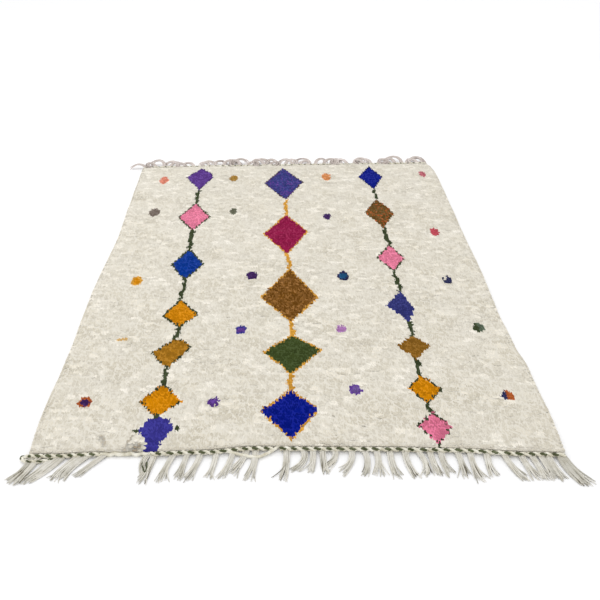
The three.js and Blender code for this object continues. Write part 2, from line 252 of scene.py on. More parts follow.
# %% Lozenges
OUTLINE = {
    "amber": 5.5, "bottle green": 8, "moss green": 6.5, "deep purple": 5, "maroon": 5, "night blue": 5, "": 0,
}
OUTLINE_WANDER = 1.8
KNOTS_KEPT = {"moss green": 0.72}
MIXED_IN = {
    "brown": ("light brown", 0.3), "olive brown": ("rust", 0.16), "indigo": ("purple", 0.16),
}
LEFT_CHAIN, MIDDLE_CHAIN, RIGHT_CHAIN, DOTS = 1, 2, 3, 4
LOZENGES = [
    (LEFT_CHAIN, "purple", "deep purple", [(-509, 864), (-430, 706), (-374, 855), (-384, 908), (-440, 968)]),
    (LEFT_CHAIN, "light pink", "bottle green", [(-500, 426), (-420, 296), (-349, 432), (-432, 580)]),
    (LEFT_CHAIN, "sea blue", "bottle green", [(-479, 17), (-408, -101), (-341, 23), (-417, 149)]),
    (LEFT_CHAIN, "gold", "bottle green", [(-466, -340), (-393, -407), (-329, -331), (-408, -226)]),
    (LEFT_CHAIN, "ochre", "moss green", [(-472, -552), (-405, -636), (-335, -522), (-366, -486), (-400, -478)]),
    (LEFT_CHAIN, "gold", "moss green", [(-471, -792), (-407, -860), (-338, -789), (-405, -706)]),
    (LEFT_CHAIN, "violet", "", [
        (-452, -920), (-424, -962), (-380, -962), (-350, -908), (-364, -874), (-404, -852), (-438, -880),
    ]),
    (LEFT_CHAIN, "violet", "", [(-426, -955), (-418, -1012), (-382, -1012), (-380, -955)]),
    (MIDDLE_CHAIN, "indigo", "maroon", [(-116, 777), (-10, 592), (78, 790), (-22, 968)]),
    (MIDDLE_CHAIN, "magenta", "amber", [(-111, 269), (-7, 89), (85, 287), (-9, 447)]),
    (MIDDLE_CHAIN, "brown", "amber", [(-111, -223), (2, -384), (108, -225), (2, -14)]),
    (MIDDLE_CHAIN, "leaf green", "amber", [(-95, -547), (0, -665), (107, -538), (7, -451)]),
    (MIDDLE_CHAIN, "royal blue", "amber", [(-99, -835), (-2, -956), (84, -822), (-6, -731)]),
    (RIGHT_CHAIN, "royal blue", "night blue", [(349, 840), (415, 698), (470, 839), (417, 969)]),
    (RIGHT_CHAIN, "olive brown", "", [(343, 459), (411, 313), (473, 436), (464, 489), (411, 592)]),
    (RIGHT_CHAIN, "light pink", "bottle green", [(353, 59), (410, -51), (468, 57), (418, 173)]),
    (RIGHT_CHAIN, "dark indigo", "", [(351, -281), (418, -378), (449, -304), (414, -176)]),
    (RIGHT_CHAIN, "dark ochre", "", [(358, -517), (410, -592), (467, -515), (415, -460)]),
    (RIGHT_CHAIN, "gold", "moss green", [(362, -729), (409, -802), (469, -735), (410, -665)]),
    (RIGHT_CHAIN, "pink", "moss green", [(363, -889), (413, -973), (466, -897), (417, -833)]),
]


def depth_inside(corners, x, y):
    """How far each place lies inside a figure whose corners go round anticlockwise."""
    depth = np.full(np.shape(x), np.inf)
    for (ax, ay), (bx, by) in zip(corners, corners[1:] + corners[:1]):
        side = math.hypot(bx - ax, by - ay)
        depth = np.minimum(depth, ((bx - ax) * (y - ay) - (by - ay) * (x - ax)) / side)
    return depth


def work(chart, which, dye, group):
    """Works the chosen places of a chart in one dye, as part of one group of figures."""
    chart["dye"][which] = dye_names.index(dye)
    chart["figure"][which] = group


def work_lozenges(chart, x, y):
    uneven = draw.normal(0, OUTLINE_WANDER, len(x))
    chance = draw.random(len(x))
    for group, body, outline, corners in LOZENGES:
        depth = depth_inside(corners, x, y)
        inner = depth > np.maximum(OUTLINE[outline] + uneven, 0)
        inner |= (depth > 0) & (chance > KNOTS_KEPT.get(outline, 1))
        second, share = MIXED_IN.get(body, (body, 0))
        work(chart, depth > 0, outline or body, group)
        work(chart, inner, body, group)
        work(chart, inner & (chance < share), second, group)


print(len(LOZENGES), "lozenges")

# %% [markdown]
# The links are one or two knots wide and wander a little from row to row, as they do when
# the weaver carries a single yarn up the cloth by eye.

# %% Links
LINKS = [
    (LEFT_CHAIN, "bottle green", (-430, 710), (-432, 576), 20),
    (LEFT_CHAIN, "bottle green", (-420, 300), (-417, 146), 20),
    (LEFT_CHAIN, "bottle green", (-408, -97), (-408, -229), 16),
    (LEFT_CHAIN, "bottle green", (-393, -404), (-400, -484), 18),
    (LEFT_CHAIN, "bottle green", (-405, -632), (-405, -710), 18),
    (LEFT_CHAIN, "bottle green", (-407, -856), (-404, -866), 18),
    (MIDDLE_CHAIN, "amber", (-10, 596), (-9, 444), 16),
    (MIDDLE_CHAIN, "amber", (-7, 93), (2, -18), 17),
    (MIDDLE_CHAIN, "amber", (2, -380), (7, -455), 17),
    (MIDDLE_CHAIN, "amber", (0, -661), (-6, -735), 18),
    (RIGHT_CHAIN, "bottle green", (415, 702), (411, 588), 13),
    (RIGHT_CHAIN, "bottle green", (411, 317), (418, 169), 16),
    (RIGHT_CHAIN, "bottle green", (410, -47), (414, -180), 16),
    (RIGHT_CHAIN, "bottle green", (418, -374), (415, -464), 16),
    (RIGHT_CHAIN, "bottle green", (410, -588), (410, -669), 16),
    (RIGHT_CHAIN, "bottle green", (409, -798), (417, -837), 17),
    (RIGHT_CHAIN, "bottle green", (413, -969), (412, -1010), 16),
]
LINK_WANDER = 2.5


def work_links(chart, x, y):
    wander = LINK_WANDER * (np.sin(y / 9.1) + np.sin(y / 23.7 + 1))
    for group, dye, (top_x, top_y), (foot_x, foot_y), width in LINKS:
        share = (top_y - y) / (top_y - foot_y)
        middle = top_x + (foot_x - top_x) * share + wander
        on_link = (share > 0) & (share < 1) & (abs(x - middle) < width / 2)
        work(chart, on_link & (chart["figure"] == 0), dye, group)


print(len(LINKS), "links")

# %% [markdown]
# The dots are a few knots each, and most are worked in one yarn. A few have a rim or a
# second yarn, one is left open like a letter C, and some are ragged.

# %% Dots
PLAIN, RIM, HALVES, OPEN, RAGGED = "plain", "rim", "halves", "open", "ragged"
DOT_TABLE = [
    (-619, 831, 42, 82, "salmon", "salmon", PLAIN),
    (-269, 843, 40, 66, "olive gold", "olive gold", PLAIN),
    (-613, 479, 50, 80, "grey brown", "grey brown", PLAIN),
    (-251, 480, 36, 58, "grey green", "grey green", PLAIN),
    (194, 847, 45, 76, "orange", "orange", PLAIN),
    (173, 423, 38, 62, "plum", "plum", PLAIN),
    (672, 868, 31, 70, "mauve red", "mauve red", PLAIN),
    (625, 273, 38, 64, "red", "red", PLAIN),
    (603, -106, 34, 66, "navy", "navy", OPEN),
    (652, -412, 38, 56, "bottle green", "moss grey", HALVES),
    (658, -762, 40, 43, "navy", "rust", HALVES),
    (209, -75, 42, 66, "teal", "navy", RIM),
    (-147, -68, 45, 64, "plum", "plum", PLAIN),
    (-597, -102, 43, 70, "gold", "amber", RIM),
    (-583, -478, 34, 20, "pale amber", "pale amber", PLAIN),
    (-175, -422, 40, 50, "purple", "violet", RIM),
    (176, -419, 36, 46, "light mauve", "dusk purple", RAGGED),
    (198, -735, 40, 48, "dusk purple", "purple", RIM),
    (-239, -794, 40, 40, "purple", "purple", RAGGED),
    (-638, -797, 44, 48, "plum", "rust", RIM),
    (-406, -857, 20, 18, "bottle green", "bottle green", PLAIN),
    (-458, -921, 20, 14, "bottle green", "bottle green", PLAIN),
    (-340, -908, 18, 14, "bottle green", "bottle green", PLAIN),
    (-388, -1003, 22, 20, "bottle green", "bottle green", PLAIN),
]


def work_dots(chart, x, y):
    chance = draw.random(len(x))
    for dot_x, dot_y, wide, tall, dye, second, kind in DOT_TABLE:
        right = (x - dot_x) / (wide / 2)
        up = (y - dot_y) / (tall / 2)
        away = np.hypot(right, up)
        inside = away < 1.0
        if kind == RAGGED:
            inside &= (away < 0.7) | (chance < 0.6)
        if kind == OPEN:
            inside &= (abs(right + 0.25) > 0.3) | (up < -0.15)
        work(chart, inside, dye, DOTS)
        if kind == RIM:
            work(chart, inside & (away > 0.62), second, DOTS)
        if kind == HALVES:
            work(chart, inside & (right > 0), second, DOTS)


def read_chart(x, y):
    """The dye that shows at each place, and the group of figures that it belongs to."""
    chart = {"dye": np.zeros(len(x), int), "figure": np.zeros(len(x), int)}
    work_lozenges(chart, x, y)
    work_links(chart, x, y)
    work_dots(chart, x, y)
    return chart["dye"], chart["figure"]


print(len(DOT_TABLE), "dots")

# %% [markdown]
# ## Making meshes from arrays
# Thousands of locks can't be placed by hand, so one strand is modelled and its
# copies are laid along small paths with arrays. A lock of wool, a cotton yarn and a
# frayed thread are all such strands, with more or fewer sides and rings.

# %% Mesh helpers
def nothing_selected():
    bpy.ops.object.select_all(action="DESELECT")


def mesh_piece(name, points, faces, numbers=None, colour=None, normals=None):
    """A smooth mesh object from arrays of points in millimetres and of triangles."""
    made = bpy.data.meshes.new(name)
    made.vertices.add(len(points))
    made.vertices.foreach_set("co", in_frame(points).astype(np.float32).ravel())
    made.loops.add(faces.size)
    made.loops.foreach_set("vertex_index", faces.astype(np.int32).ravel())
    made.polygons.add(len(faces))
    made.polygons.foreach_set("loop_start", np.arange(0, faces.size, 3, dtype=np.int32))
    made.polygons.foreach_set("use_smooth", np.ones(len(faces), bool))
    made.update(calc_edges=True)
    for label, values in (numbers or {}).items():
        made.attributes.new(label, "FLOAT", "POINT").data.foreach_set("value", values.astype(np.float32))
    if colour is not None:
        painted = np.concatenate([colour, np.ones((len(colour), 1))], axis=1)
        layer = made.attributes.new("dye", "FLOAT_COLOR", "POINT")
        layer.data.foreach_set("color", painted.astype(np.float32).ravel())
    if normals is not None:
        made.normals_split_custom_set_from_vertices(normals)
    piece = bpy.data.objects.new(name, made)
    bpy.context.scene.collection.objects.link(piece)
    return piece


def model_strand(sides, levels):
    """One modelled upright strand: rings at the inner levels, a point at each end."""
    nothing_selected()
    first, last = levels[1], levels[-2]
    bpy.ops.mesh.primitive_cylinder_add(vertices=sides, depth=last - first, end_fill_type="TRIFAN")
    strand = bpy.context.object
    middle = (first + last) / 2
    bpy.ops.object.mode_set(mode="EDIT")
    for level in levels[2:-2]:
        bpy.ops.mesh.select_all(action="SELECT")
        bpy.ops.mesh.bisect(plane_co=(0, 0, level - middle), plane_no=(0, 0, 1))
    bpy.ops.object.mode_set(mode="OBJECT")
    points = np.array([vertex.co for vertex in strand.data.vertices])
    strand.data.calc_loop_triangles()
    faces = np.array([tuple(triangle.vertices) for triangle in strand.data.loop_triangles])
    bpy.data.objects.remove(strand)
    points[:, 2] += middle
    centre = np.hypot(points[:, 0], points[:, 1]) < 0.5
    points[centre & (points[:, 2] < middle), 2] = levels[0]
    points[centre & (points[:, 2] > middle), 2] = levels[-1]
    level_of = np.abs(points[:, 2:] - np.array(levels)).argmin(axis=1)
    return {"points": points, "faces": faces, "level": level_of, "levels": np.array(levels)}


def lay_strands(strand, path, radius, side, flatness=1.0):
    """Copies of a strand, one along each path. path holds a point for each level, radius a
    length for each level, and side the way that each strand's wider side faces."""
    along = np.gradient(path, axis=1)
    along /= np.linalg.norm(along, axis=2, keepdims=True)
    side = side[:, None, :] - (side[:, None, :] * along).sum(2, keepdims=True) * along
    side /= np.linalg.norm(side, axis=2, keepdims=True)
    lift = np.cross(along, side) * flatness
    level = strand["level"]
    out = strand["points"][None, :, 0, None] * side[:, level]
    out = out + strand["points"][None, :, 1, None] * lift[:, level]
    points = path[:, level] + out * radius[:, level, None]
    first = np.arange(len(path)) * len(level)
    faces = strand["faces"][None] + first[:, None, None]
    return points.reshape(-1, 3), faces.reshape(-1, 3)


LOCK_LEVELS = [0.0, 0.36, 0.82, 1.0]
lock = model_strand(3, LOCK_LEVELS)
print("a lock has", len(lock["faces"]), "faces")

# %% [markdown]
# ## How high the wool stands
# The wool stands about two centimetres high and follows the broad soft lumps of a cloth on
# a floor. Locks near each other felt together into small wide tufts, which is what the eye
# reads as shag, so each tuft has a middle, a height, a tint and a lean of its own; the tint is
# a random tone, skewed to light flecks of painted highlight. Towards the rims the wool sinks
# and falls outward. Left of the middle the near hem is tucked under, which pulls a small fan
# of folds into the cloth, with painted shade in its hollow and creases.

# %% Tufts
PILE_HEIGHT = 19
PILE_LUMP = 4
TUFT_WIDE = 27
TUFT_DEEP = 16
EDGE_ZONE = 22
SHOULDER = 5
PROPPED = 0.7
TUFT_COLUMNS = int(FIELD_WIDTH / TUFT_WIDE) + 8
TUFT_ROWS = int(FIELD_LENGTH / TUFT_DEEP) + 8
tuft_place = draw.random((TUFT_COLUMNS, TUFT_ROWS, 2)) * 0.8 + 0.1
tuft_rise = draw.normal(0, 0.3, TUFT_COLUMNS * TUFT_ROWS)
# Each tuft's tint is a random tone, skewed towards light flecks that are painted highlight.
tuft_tone_and_highlight = draw.exponential(0.2, TUFT_COLUMNS * TUFT_ROWS) - 0.18
tuft_lean = draw.normal(0, 1, (TUFT_COLUMNS * TUFT_ROWS, 2)) * (3.0, 2.5)
# Each fold's shade column is painted shade: it darkens the colour of the locks and the bed.
FOLDS = [
    {"start": (-462, -956), "end": (-454, -956), "half_width": 45, "rise": 4, "shade": 0.0},
    {"start": (-456, -944), "end": (-471, -994), "half_width": 6, "rise": 5, "shade": 0.0},
    {"start": (-462, -938), "end": (-482, -1002), "half_width": 5, "rise": -2, "shade": 0.8},
    {"start": (-443, -982), "end": (-452, -990), "half_width": 15, "rise": -5, "shade": 0.9},
    {"start": (-556, -939), "end": (-542, -974), "half_width": 8, "rise": -3, "shade": 0.72},
]


def folded(x, y):
    """How far the folds by the near hem lift the cloth, and how much painted shade darkens it."""
    lift = np.zeros(len(x))
    shade = np.zeros(len(x))
    for fold in FOLDS:
        (from_x, from_y), (to_x, to_y) = fold["start"], fold["end"]
        run_x, run_y = to_x - from_x, to_y - from_y
        share = ((x - from_x) * run_x + (y - from_y) * run_y) / (run_x**2 + run_y**2)
        share = np.clip(share, 0, 1)
        away = np.hypot(x - from_x - share * run_x, y - from_y - share * run_y)
        lift += fold["rise"] * np.exp(-((away / fold["half_width"]) ** 2))
        shade = np.maximum(shade, fold["shade"] * np.exp(-((away / fold["half_width"]) ** 4)))
    return lift, shade


def pile_height(x, y):
    """How high the wool stands, with the broad soft lumps of a cloth that lies on a floor."""
    sway = x / 61 + 1.3 * np.sin(y / 97)
    lumps = np.sin(sway) * np.cos(y / 53 - x / 140)
    ripple = np.sin(y / 29 + x / 71)
    return PILE_HEIGHT + PILE_LUMP * (0.3 * lumps + 0.16 * ripple) + folded(x, y)[0]


def tuft_of(x, y):
    """The middle of the tuft that each place belongs to, and that tuft's own number."""
    cell_x = np.floor(x / TUFT_WIDE).astype(int) + TUFT_COLUMNS // 2
    cell_y = np.floor(y / TUFT_DEEP).astype(int) + TUFT_ROWS // 2
    best = np.full(len(x), np.inf)
    middle = np.zeros((len(x), 2))
    number = np.zeros(len(x), int)
    for right in (-1, 0, 1):
        for up in (-1, 0, 1):
            i, j = cell_x + right, cell_y + up
            at_x = (i - TUFT_COLUMNS // 2 + tuft_place[i, j, 0]) * TUFT_WIDE
            at_y = (j - TUFT_ROWS // 2 + tuft_place[i, j, 1]) * TUFT_DEEP
            away = ((x - at_x) / TUFT_WIDE) ** 2 + ((y - at_y) / TUFT_DEEP) ** 2
            nearer = away < best
            best[nearer] = away[nearer]
            middle[nearer] = np.stack([at_x, at_y], axis=1)[nearer]
            number[nearer] = (i * TUFT_ROWS + j)[nearer]
    return middle, number


def rim_shares(across, along):
    """For the left, right, near and far rims, 1 at the rim and 0 past the edge zone."""
    gone = [across * FIELD_WIDTH, (1 - across) * FIELD_WIDTH, along * FIELD_LENGTH, (1 - along) * FIELD_LENGTH]
    return [np.clip(1 - distance / EDGE_ZONE, 0, 1) for distance in gone]


def droop(across, along):
    """How far the wool sinks near the rims, as a round shoulder, which the near cord props."""
    left, right, near, far = rim_shares(across, along)
    closest = np.max([left, right, PROPPED * near, far], axis=0)
    return SHOULDER * (1 - np.sqrt(1 - closest**2))


print(TUFT_COLUMNS * TUFT_ROWS, "tufts")

# %% [markdown]
# ## The cloth and its matted wool
# Below the loose tips the knots stand so close that they form one dense bed on the woven
# cloth, and little light goes deeper. The bed and the cloth are one sheet, with a quad for
# each knot, so that the dye shows between the tips and on the underside. A grid is laid
# over the loom's rectangle, extruded, and then settled on the outline.

# %% Ground cloth
BED_DEPTH = 1.0
SIDE_SWELLS = 2.5

nothing_selected()
bpy.ops.mesh.primitive_grid_add(x_subdivisions=KNOTS_ACROSS, y_subdivisions=KNOT_ROWS, size=1)
ground = bpy.context.object
ground.name = "ground_cloth"
bpy.ops.object.mode_set(mode="EDIT")
bpy.ops.mesh.select_all(action="SELECT")
bpy.ops.mesh.extrude_region_move(TRANSFORM_OT_translate={"value": (0, 0, 1)})
bpy.ops.mesh.select_all(action="SELECT")
bpy.ops.mesh.normals_make_consistent(inside=False)
bpy.ops.object.mode_set(mode="OBJECT")
bpy.ops.object.shade_smooth()
loom = np.array([vertex.co for vertex in ground.data.vertices])
corner_of_face = np.array([tuple(face.vertices) for face in ground.data.polygons])
face_middle = loom[corner_of_face].mean(axis=1)

across = loom[:, 0] + 0.5
along = loom[:, 1] + 0.5
ground_x, ground_y = settled(across, along)
ground_x += SIDE_SWELLS * ((across > 0.9999).astype(float) - (across < 0.0001)) * loom[:, 2]
_, tuft = tuft_of(ground_x, ground_y)
bed_top = pile_height(ground_x, ground_y) + tuft_rise[tuft] - BED_DEPTH - droop(across, along)
ground_points = np.stack([ground_x, ground_y, loom[:, 2] * bed_top], axis=1)
ground.data.vertices.foreach_set("co", in_frame(ground_points).astype(np.float32).ravel())

face_x, face_y = settled(face_middle[:, 0] + 0.5, face_middle[:, 1] + 0.5)
face_dye, _ = read_chart(face_x, face_y)
# The folds' painted shade darkens the bed faces, so the ground's dye layer holds dye and shade.
face_dye_and_shade = dye_light[face_dye] * (1 - 0.5 * folded(face_x, face_y)[1][:, None])
corner_dye_and_shade = np.repeat(face_dye_and_shade, 4, axis=0)
painted = np.concatenate([corner_dye_and_shade, np.ones((len(corner_dye_and_shade), 1))], axis=1)
layer = ground.data.attributes.new("dye", "FLOAT_COLOR", "CORNER")
layer.data.foreach_set("color", painted.astype(np.float32).ravel())
ground.data.update()
print("ground cloth:", len(ground.data.polygons), "faces")

# %% [markdown]
# ## The locks of wool
# Each knot ends in two thick flat locks. They rise out of the bed and then lie over towards
# the near end, one row on the next like thatch, and every tip is drawn towards the middle
# of its tuft.

# %% Locks of wool
LOCK_RADIUS = 5.6
LOCK_FLATNESS = 0.38
FIBRES_STAND = 0.6
TUFT_PULL = 0.25
LOCK_TAPER = np.interp(LOCK_LEVELS, [0, 0.4, 0.85, 1], [1, 1, 0.8, 0.3])
SHOWS_AT_LEVEL = 2
TIP_LEAN = -13
ROOT_BELOW_BED = 2.5
RIM_KNOT = (column == KNOTS_ACROSS - 1).astype(int) - (column == 0)
FROM_RIM = {"root": 3.0, "tip": 1.5}
OVERHANG = 3.5
# Painted shade: the locks on the shoulder by the near cord are tinted greyer.
NEAR_RIM_SHADE = 0.22

across = (column + 0.5) / KNOTS_ACROSS
along = (row + 0.5) / KNOT_ROWS
left, right, near, far = rim_shares(across, along)
middle, tuft = tuft_of(knot_x, knot_y)
lean_x = tuft_lean[tuft, 0] + 4 * (right - left)
lean_y = (TIP_LEAN + tuft_lean[tuft, 1]) * (1 - 0.5 * near) * (1 - far) + 3 * far
stands = pile_height(knot_x, knot_y) + tuft_rise[tuft] - droop(across, along)
print("wool stands", round(float(stands.min()), 1), "to", round(float(stands.max()), 1), "mm")


def locks_of_knots(offset, spread):
    """The path, width, side and tint of one lock of every knot."""
    root_z = stands - BED_DEPTH - ROOT_BELOW_BED
    root_x, root_y = knot_x + offset[0], knot_y + offset[1]
    left_rim = -FIELD_WIDTH / 2 - eased(LEFT_EDGE, root_y)
    right_rim = FIELD_WIDTH / 2 + eased(RIGHT_EDGE, root_y)
    rim = np.where(RIM_KNOT < 0, left_rim, right_rim)
    root_x = np.where(RIM_KNOT == 0, root_x, rim - RIM_KNOT * FROM_RIM["root"])
    root = np.stack([root_x, root_y, root_z], axis=1)
    pulled = (middle - root[:, :2]) * TUFT_PULL
    tip_x = root_x + lean_x + pulled[:, 0] + draw.normal(0, spread, knots)
    tip_y = root_y + lean_y + pulled[:, 1] + draw.normal(0, spread, knots)
    tip_x = np.clip(tip_x, left_rim + FROM_RIM["tip"], right_rim - FROM_RIM["tip"])
    tip_x = np.where(RIM_KNOT == 0, tip_x, rim - RIM_KNOT * FROM_RIM["tip"])
    nearest = np.interp(tip_x, rim_x, rim_y) - OVERHANG
    tip_y = np.clip(tip_y, nearest, np.interp(tip_x, far_rim_x, far_rim_y) + OVERHANG)
    tip_z = stands - 0.8 + draw.normal(0, 0.25, knots)
    tip = np.stack([tip_x, tip_y, tip_z], axis=1)
    share = lock["levels"][None, :, None]
    flat = root[:, None, :2] + (tip - root)[:, None, :2] * share**1.3
    rise = root[:, None, 2:] + (tip - root)[:, None, 2:] * (1 - (1 - share) ** 2)
    turn = draw.normal(0, 0.15, knots)
    # The folds' painted shade darkens each lock's tint, and so its colour, in their hollow and creases.
    shade = folded(tip_x, tip_y)[1]
    own_tint = tuft_tone_and_highlight[tuft] + draw.normal(0, 0.09, knots) - NEAR_RIM_SHADE * near
    tint = np.clip(0.5 + own_tint * (1 - shade), 0.2, 1)
    return {
        "path": np.concatenate([flat, rise], axis=2),
        "radius": LOCK_RADIUS * LOCK_TAPER[None] * draw.uniform(0.85, 1.15, (knots, 1)),
        "side": np.stack([np.cos(turn), np.sin(turn), np.zeros(knots)], axis=1),
        "tint": tint * (1 - shade),
        "row": row,
    }


halves = [locks_of_knots((-2.6, 1.5), 2.0), locks_of_knots((2.6, -1.5), 2.0)]
wool = {label: np.concatenate([half[label] for half in halves]) for label in halves[0]}
shows_at = wool["path"][:, SHOWS_AT_LEVEL]
wool["dye"], wool["figure"] = read_chart(shows_at[:, 0], shows_at[:, 1])
print(len(wool["dye"]), "locks,", int((wool["figure"] > 0).sum()), "of them dyed")


def soft_normals(points, path):
    """Directions to shade by: part of each lock's own roundness, and mostly straight up, as
    the fine fibres at its surface stand every way."""
    out = points - path[:, lock["level"]].reshape(-1, 3)
    out /= np.maximum(np.linalg.norm(out, axis=1, keepdims=True), 0.001)
    mixed = out * (1 - FIBRES_STAND) + np.array([0, 0, FIBRES_STAND])
    return mixed / np.linalg.norm(mixed, axis=1, keepdims=True)


def wool_piece(name, which):
    """One mesh of all the chosen locks."""
    path = wool["path"][which]
    points, faces = lay_strands(lock, path, wool["radius"][which], wool["side"][which], LOCK_FLATNESS)
    share = lock["points"][:, 2]
    numbers = {
        "tint": np.repeat(wool["tint"][which], len(share)),
        "along": np.tile(share, int(which.sum())),
    }
    dye = np.repeat(dye_light[wool["dye"][which]], len(share), axis=0)
    print(name, len(faces), "triangles")
    return mesh_piece(name, points, faces, numbers, dye, soft_normals(points, path))


CREAM_BANDS = 4
figure = wool["figure"]
cream_pieces = [
    wool_piece(f"pile_cream_{band + 1}", (figure == 0) & (wool["row"] * CREAM_BANDS // KNOT_ROWS == band))
    for band in range(CREAM_BANDS)
]
dyed_pieces = [
    wool_piece("pile_chain_left", figure == LEFT_CHAIN),
    wool_piece("pile_chain_middle", figure == MIDDLE_CHAIN),
    wool_piece("pile_chain_right", figure == RIGHT_CHAIN),
    wool_piece("pile_dots", figure == DOTS),
]

# %% [markdown]
# ## The end cords
# Each end is finished with a cord twined round the warps, of two thick cream yarns and one
# thin dark olive yarn that floats up once in every turn, as a dark slanting dash. A rope
# maker's way is used: each yarn is a curve that winds round the cord's middle line, given a
# round section. Every turn comes out a little longer or shorter than the last.

# %% Cords
CORD_PITCH = 33
CORD_MIDDLE_HEIGHT = 10.4
CORD_FROM_RIM = 8.4
CREAM_YARN_RADIUS = 4.5
OLIVE_SHOWS_AT = 4.8
OLIVE_HIDES_AT = 0.6
OLIVE_YARN_RADIUS = 4.0
FAR_OLIVE_RADIUS = 2.4
OLIVE_SWING = 0.55
STEPS_A_TURN = 12
TURN_WANDER = 0.22
DASH_FACES = math.radians(122)


def cord_line(from_x, to_x, rim, outward):
    """The middle line of a cord beside one rim of the cloth."""
    x = np.linspace(from_x, to_x, int((to_x - from_x) / CORD_PITCH * STEPS_A_TURN) + 1)
    y = np.interp(x, rim[0], rim[1]) + outward * CORD_FROM_RIM
    return np.stack([x, y, np.full(len(x), CORD_MIDDLE_HEIGHT)], axis=1)


def turns_along(line, dash_at, pitch):
    """How far the cord has turned at each place of its line, in radians: a whole number of
    turns where a dash shows. Each turn wanders a little."""
    step = np.linalg.norm(np.diff(line, axis=0), axis=1)
    gone = np.concatenate([[0], np.cumsum(step)])
    turns = (gone - dash_at + line[0, 0]) / pitch
    wander = TURN_WANDER * (np.sin(turns * 2.1) + np.sin(turns * 3.7 + 1))
    return 2 * math.pi * turns + wander


def beside(line, angle, away):
    """Places beside a line, each at its own angle round it and distance from it."""
    along = np.gradient(line, axis=0)
    along /= np.linalg.norm(along, axis=1, keepdims=True)
    side = np.cross((0, 0, 1), along)
    side /= np.linalg.norm(side, axis=1, keepdims=True)
    lift = np.cross(along, side)
    return line + away[:, None] * (np.cos(angle)[:, None] * side + np.sin(angle)[:, None] * lift)


def yarn_piece(name, lines, radius):
    """One mesh from several yarns, each a curve with a round section and closed ends."""
    curve = bpy.data.curves.new(name, "CURVE")
    curve.dimensions = "3D"
    curve.bevel_depth = radius * MM
    curve.bevel_resolution = 1
    curve.use_fill_caps = True
    for line in lines:
        spline = curve.splines.new("POLY")
        spline.points.add(len(line) - 1)
        placed = np.concatenate([in_frame(line), np.ones((len(line), 1))], axis=1)
        spline.points.foreach_set("co", placed.astype(np.float32).ravel())
    drawn = bpy.data.objects.new(name, curve)
    bpy.context.scene.collection.objects.link(drawn)
    nothing_selected()
    drawn.select_set(True)
    bpy.context.view_layer.objects.active = drawn
    bpy.ops.object.convert(target="MESH")
    bpy.ops.object.shade_smooth()
    print(name, len(drawn.data.polygons), "faces")
    return drawn


def olive_yarn(line, dash_at, pitch):
    """The yarn that floats up on the cord once a turn and hides inside it for the rest."""
    turned = turns_along(line, dash_at, pitch)
    shown = np.maximum(np.cos(turned), 0) ** 0.7
    away = OLIVE_HIDES_AT + (OLIVE_SHOWS_AT - OLIVE_HIDES_AT) * shown
    return beside(line, DASH_FACES + OLIVE_SWING * np.sin(turned), away)


def cream_yarns(line, dash_at, pitch):
    """The two yarns that make the cord's body: one opposite the dash and one under it."""
    turned = turns_along(line, dash_at, pitch)
    opposite = beside(line, turned + DASH_FACES + math.pi, np.full(len(line), 2.7))
    under = beside(line, turned + DASH_FACES, np.full(len(line), 1.9))
    return [opposite, under]


near_rim_line = (rim_x, rim_y)
far_rim_line = (far_rim_x, far_rim_y)
corner_line = cord_line(-752, -548, near_rim_line, -1)
left_line = cord_line(-404, -56, near_rim_line, -1)
right_line = cord_line(-36, 754, near_rim_line, -1)
far_line = cord_line(-748, 712, far_rim_line, 1)
LEFT_PITCH = 30.6
cord_olive = [
    yarn_piece("cord_near_left_olive", [
        olive_yarn(corner_line, -724, LEFT_PITCH), olive_yarn(left_line, -319, LEFT_PITCH),
    ], OLIVE_YARN_RADIUS),
    yarn_piece("cord_near_right_olive", [olive_yarn(right_line, 3, CORD_PITCH)], OLIVE_YARN_RADIUS),
    yarn_piece("cord_far_olive", [olive_yarn(far_line, -700, CORD_PITCH)], FAR_OLIVE_RADIUS),
]
cord_cream = [
    yarn_piece("cord_near_left_cream", [
        *cream_yarns(corner_line, -724, LEFT_PITCH), *cream_yarns(left_line, -319, LEFT_PITCH),
    ], CREAM_YARN_RADIUS),
    yarn_piece("cord_near_right_cream", cream_yarns(right_line, 3, CORD_PITCH), CREAM_YARN_RADIUS),
    yarn_piece("cord_far_cream", cream_yarns(far_line, -700, CORD_PITCH), CREAM_YARN_RADIUS),
]

# %% [markdown]
# The near cord is uneven on its left half. At the corner its end is doubled back. Past the
# corner the hem is tucked under, and shows as a plain lumpy roll. Left of the middle one
# cream yarn has come loose and sags. These are single curves through a few measured places.

# %% Loose parts of the near cord
HEM_LUMP = 1.6
DOUBLED_BACK = [
    (-750, -1008, 9), (-766, -1010, 8), (-771, -1017, 7), (-762, -1024, 6.5),
    (-742, -1027, 6.5), (-718, -1026, 6.5), (-694, -1021, 6.5), (-676, -1013, 8),
]
SAGGING_YARN = [
    (-194, -984, 9), (-162, -993, 8), (-133, -1001, 6.5), (-100, -1007, 6),
    (-74, -993, 7), (-52, -979, 9), (-40, -966, 13),
]


def smooth_line(places, steps):
    """A line through a few places, with a soft bend at each."""
    places = np.array(places, float)
    at = np.linspace(0, len(places) - 1, steps)
    line = np.stack([np.interp(at, np.arange(len(places)), places[:, k]) for k in range(3)], axis=1)
    for _ in range(3):
        line[1:-1] = (line[:-2] + 2 * line[1:-1] + line[2:]) / 4
    return line


